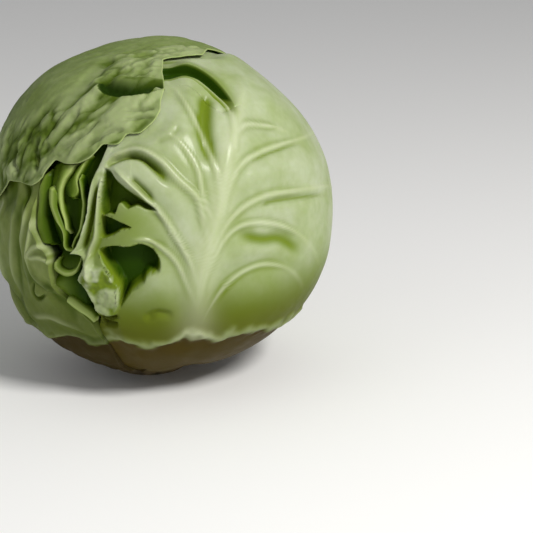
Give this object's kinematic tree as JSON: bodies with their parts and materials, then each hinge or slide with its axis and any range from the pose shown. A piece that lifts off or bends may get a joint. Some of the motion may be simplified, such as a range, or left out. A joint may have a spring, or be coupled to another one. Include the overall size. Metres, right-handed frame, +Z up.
{
  "type": "cabbage head",
  "caption": "Round head of green cabbage: broad smooth and crinkled leaves wrapped over ruffled inner leaves and a packed heart, standing on its cut stem.",
  "frame": {"origin": "centre of the stem's flat cut face, which the head stands on", "axes": "+Z up through the head, -Y out of its front, where the broad smooth leaf's midrib shows, and +X to the right seen from the front"},
  "size_m": [0.1799, 0.1799, 0.1799],
  "materials": {
    "outer_leaf": "satin pale green leaf with raised pale veins",
    "crown_leaf": "matt, waxy, crinkled grey-green leaf",
    "inner_leaf": "thin yellow-green leaf with a pale ruffled margin",
    "heart_leaf": "pale yellow, tightly packed leaf",
    "stem": "fibrous pale stem, browned where it was cut"
  },
  "bodies": {
    "root": {"stem": "stem", "crown_leaf": "crown_leaf", "front_leaf": "outer_leaf", "side_leaf": "outer_leaf", "back_left_leaf": "outer_leaf", "back_right_leaf": "outer_leaf", "under_leaf_right": "outer_leaf", "under_leaf_back": "outer_leaf", "under_leaf_left": "outer_leaf", "ruffled_leaf_1": "inner_leaf", "ruffled_leaf_2": "inner_leaf", "ruffled_leaf_3": "inner_leaf", "ruffled_leaf_4": "inner_leaf", "ruffled_leaf_5": "inner_leaf", "ruffled_leaf_6": "inner_leaf", "heart_leaf_1": "heart_leaf", "heart_leaf_2": "heart_leaf", "heart_leaf_3": "heart_leaf", "heart_leaf_4": "heart_leaf", "heart_leaf_5": "heart_leaf", "heart_leaf_6": "heart_leaf", "heart_leaf_7": "heart_leaf", "heart_leaf_8": "heart_leaf", "heart_bud": "heart_leaf"}
  },
  "joints": []
}
